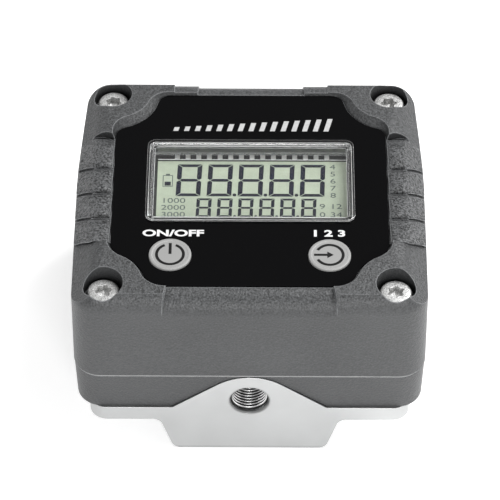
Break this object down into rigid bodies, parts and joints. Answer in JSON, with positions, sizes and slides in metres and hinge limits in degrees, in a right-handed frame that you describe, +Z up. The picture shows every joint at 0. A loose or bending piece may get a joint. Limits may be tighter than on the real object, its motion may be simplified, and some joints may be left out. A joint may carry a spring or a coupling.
{
  "type": "oval gear flow meter",
  "caption": "Liquid flow meter: a metal body with a port at each end and a pair of oval gears inside, under a plastic display housing with a digital window and push buttons",
  "frame": {"origin": "middle of the foot's underside, on the surface that the meter stands on", "axes": "+X to the right across the display, +Y to the back along the flow, +Z up out of the display"},
  "size_m": [0.0898, 0.08, 0.0569],
  "materials": {
    "satin_aluminium": "machined aluminium with a satin bead-blasted face",
    "housing_plastic": "dark grey moulded plastic with a fine leather grain",
    "gloss_black": "gloss black printed overlay",
    "clear_plastic": "clear moulded window",
    "display_face": "grey-green reflective display",
    "display_backing": "matt reflector sheet",
    "tinned_metal": "bright tinned pins",
    "key_plastic": "light grey moulded keys",
    "seal_rubber": "black nitrile seal",
    "screw_steel": "bright zinc plated steel",
    "axle_steel": "ground stainless pins",
    "gear_plastic": "filled engineering plastic, moulded",
    "magnet_metal": "nickel plated magnets",
    "board_green": "solder-masked circuit board",
    "chip_black": "moulded component packages",
    "tray_plastic": "black moulded inner lid",
    "cell_jacket": "plain jacketed dry cells",
    "contact_spring": "nickel plated spring strip",
    "reed_glass": "sealed glass reeds"
  },
  "bodies": {
    "meter": {"meter_body": "satin_aluminium", "chamber_cover": "satin_aluminium", "chamber_o_ring": "seal_rubber", "chamber_cover_screws": "screw_steel", "left_gear_axle": "axle_steel", "right_gear_axle": "axle_steel", "lower_housing": "housing_plastic", "housing_gasket": "seal_rubber", "upper_housing": "housing_plastic", "fascia": "gloss_black", "window_lens": "clear_plastic", "display_glass": "display_face", "display_backing": "display_backing", "display_pins": "tinned_metal", "display_frame": "tray_plastic", "tact_switches": "chip_black", "circuit_board": "board_green", "board_screws": "screw_steel", "board_chips": "chip_black", "sensor_board": "board_green", "reed_switches": "reed_glass", "battery_tray": "tray_plastic", "battery_cells": "cell_jacket", "battery_contacts": "contact_spring", "battery_springs": "contact_spring", "housing_screws": "screw_steel"},
    "left_gear": {"left_oval_gear": "gear_plastic", "left_gear_magnets": "magnet_metal"},
    "right_gear": {"right_oval_gear": "gear_plastic", "right_gear_magnets": "magnet_metal"},
    "power_key": {"power_button": "key_plastic", "power_switch_plunger": "chip_black"},
    "select_key": {"select_button": "key_plastic", "select_switch_plunger": "chip_black"}
  },
  "joints": [
    {"name": "left_gear_spin", "type": "hinge", "parent": "meter", "child": "left_gear", "pos_m": [-0.013, 0, 0.02], "axis": [0, 0, 1], "continuous": true},
    {"name": "right_gear_spin", "type": "hinge", "parent": "meter", "child": "right_gear", "pos_m": [0.013, 0, 0.02], "axis": [0, 0, 1], "continuous": true},
    {"name": "power_press", "type": "slide", "parent": "meter", "child": "power_key", "axis": [0, 0, -1], "range_m": [0, 0.0004], "stiffness_N_per_m": 3000},
    {"name": "select_press", "type": "slide", "parent": "meter", "child": "select_key", "axis": [0, 0, -1], "range_m": [0, 0.0004], "stiffness_N_per_m": 3000}
  ],
  "couplings": [
    {"joint": "right_gear_spin", "follows": "left_gear_spin", "ratio": -1}
  ]
}
